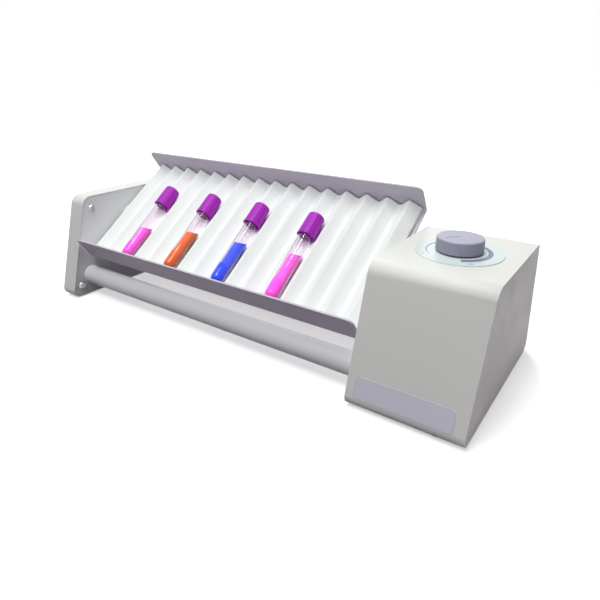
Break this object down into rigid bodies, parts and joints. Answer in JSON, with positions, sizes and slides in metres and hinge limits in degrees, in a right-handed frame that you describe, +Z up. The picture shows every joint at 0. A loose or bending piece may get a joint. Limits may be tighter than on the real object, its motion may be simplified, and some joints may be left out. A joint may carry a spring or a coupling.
{
  "type": "blood tube rocker",
  "caption": "Laboratory tube rocker: a corrugated tray see-saws between an end bracket and a motor housing with a speed knob, with capped sample tubes lying in its grooves.",
  "frame": {"origin": "middle of the footprint, on the surface that the feet stand on", "axes": "+X along the tray towards the motor housing, +Y to the back, +Z up"},
  "size_m": [0.448, 0.169, 0.145],
  "materials": {
    "cream_shell": "finely textured moulded plastic",
    "panel": "satin powder coat",
    "steel": "plated steel",
    "bar": "smooth light grey coat",
    "foot": "matt",
    "nylon": "smooth",
    "motor_metal": "satin",
    "board": "solder mask",
    "black_plastic": "moulded",
    "dial": "printed film",
    "tray": "satin grey coat",
    "pad": "smooth closed-cell foam",
    "block": "machined",
    "knob": "satin",
    "glass": "clear",
    "cap": "glossy",
    "stopper": "smooth",
    "liquid_pink": "dyed water",
    "liquid_orange": "dyed water",
    "liquid_blue": "dyed water"
  },
  "bodies": {
    "frame": {"housing_shell": "cream_shell", "housing_panel": "panel", "housing_panel_screws": "steel", "bracket_shell": "cream_shell", "bracket_panel": "panel", "bracket_panel_screws": "steel", "tie_bar_front": "bar", "tie_bar_rear": "bar", "tie_bar_bolts": "steel", "foot_front_left": "foot", "foot_rear_left": "foot", "foot_front_right": "foot", "foot_rear_right": "foot", "bush_left": "nylon", "bush_right": "nylon", "motor_plate": "steel", "motor_standoffs": "steel", "standoff_screws": "steel", "gearbox": "motor_metal", "motor": "motor_metal", "control_board": "board", "board_posts": "cream_shell", "board_parts": "black_plastic", "power_inlet": "black_plastic", "inlet_nut": "steel", "dial_plate": "dial", "potentiometer": "motor_metal", "potentiometer_nut": "steel"},
    "tray": {"tray_channel": "tray", "pad": "pad", "pivot_block_left": "block", "pivot_block_right": "block", "block_screws": "steel", "pivot_pin": "steel", "drive_shaft": "steel", "rocker_lever": "steel", "lever_pin": "steel"},
    "crank": {"crank_disc": "block", "crank_pin": "steel", "motor_shaft": "steel"},
    "rod": {"connecting_rod": "nylon"},
    "knob": {"knob": "knob", "knob_shaft": "steel"},
    "tube_1": {"glass_1": "glass", "liquid_1": "liquid_pink", "cap_1": "cap", "stopper_1": "stopper"},
    "tube_2": {"glass_2": "glass", "liquid_2": "liquid_orange", "cap_2": "cap", "stopper_2": "stopper"},
    "tube_3": {"glass_3": "glass", "liquid_3": "liquid_blue", "cap_3": "cap", "stopper_3": "stopper"},
    "tube_4": {"glass_4": "glass", "liquid_4": "liquid_pink", "cap_4": "cap", "stopper_4": "stopper"}
  },
  "joints": [
    {"name": "tray_rock", "type": "hinge", "parent": "frame", "child": "tray", "pos_m": [0, 0, 0.079], "axis": [1, 0, 0], "range_deg": [-70, 0]},
    {"name": "crank_spin", "type": "hinge", "parent": "frame", "child": "crank", "pos_m": [0.15, 0.01966, 0.035], "axis": [1, 0, 0], "range_deg": [-180, 0]},
    {"name": "rod_swing", "type": "hinge", "parent": "crank", "child": "rod", "pos_m": [0.15, 0.01966, 0.04877], "axis": [1, 0, 0], "range_deg": [0, 180]},
    {"name": "knob_turn", "type": "hinge", "parent": "frame", "child": "knob", "pos_m": [0.17875, 0, 0.12], "axis": [0, 0, 1], "range_deg": [-280, 0]},
    {"name": "tube_1_lift", "type": "slide", "parent": "tray", "child": "tube_1", "axis": [0, -0.5736, 0.8192], "range_m": [0, 0.06]},
    {"name": "tube_2_lift", "type": "slide", "parent": "tray", "child": "tube_2", "axis": [0, -0.5736, 0.8192], "range_m": [0, 0.06]},
    {"name": "tube_3_lift", "type": "slide", "parent": "tray", "child": "tube_3", "axis": [0, -0.5736, 0.8192], "range_m": [0, 0.06]},
    {"name": "tube_4_lift", "type": "slide", "parent": "tray", "child": "tube_4", "axis": [0, -0.5736, 0.8192], "range_m": [0, 0.06]}
  ],
  "couplings": [
    {"joint": "crank_spin", "follows": "tray_rock", "ratio": 2.57},
    {"joint": "rod_swing", "follows": "tray_rock", "ratio": -2.57}
  ]
}
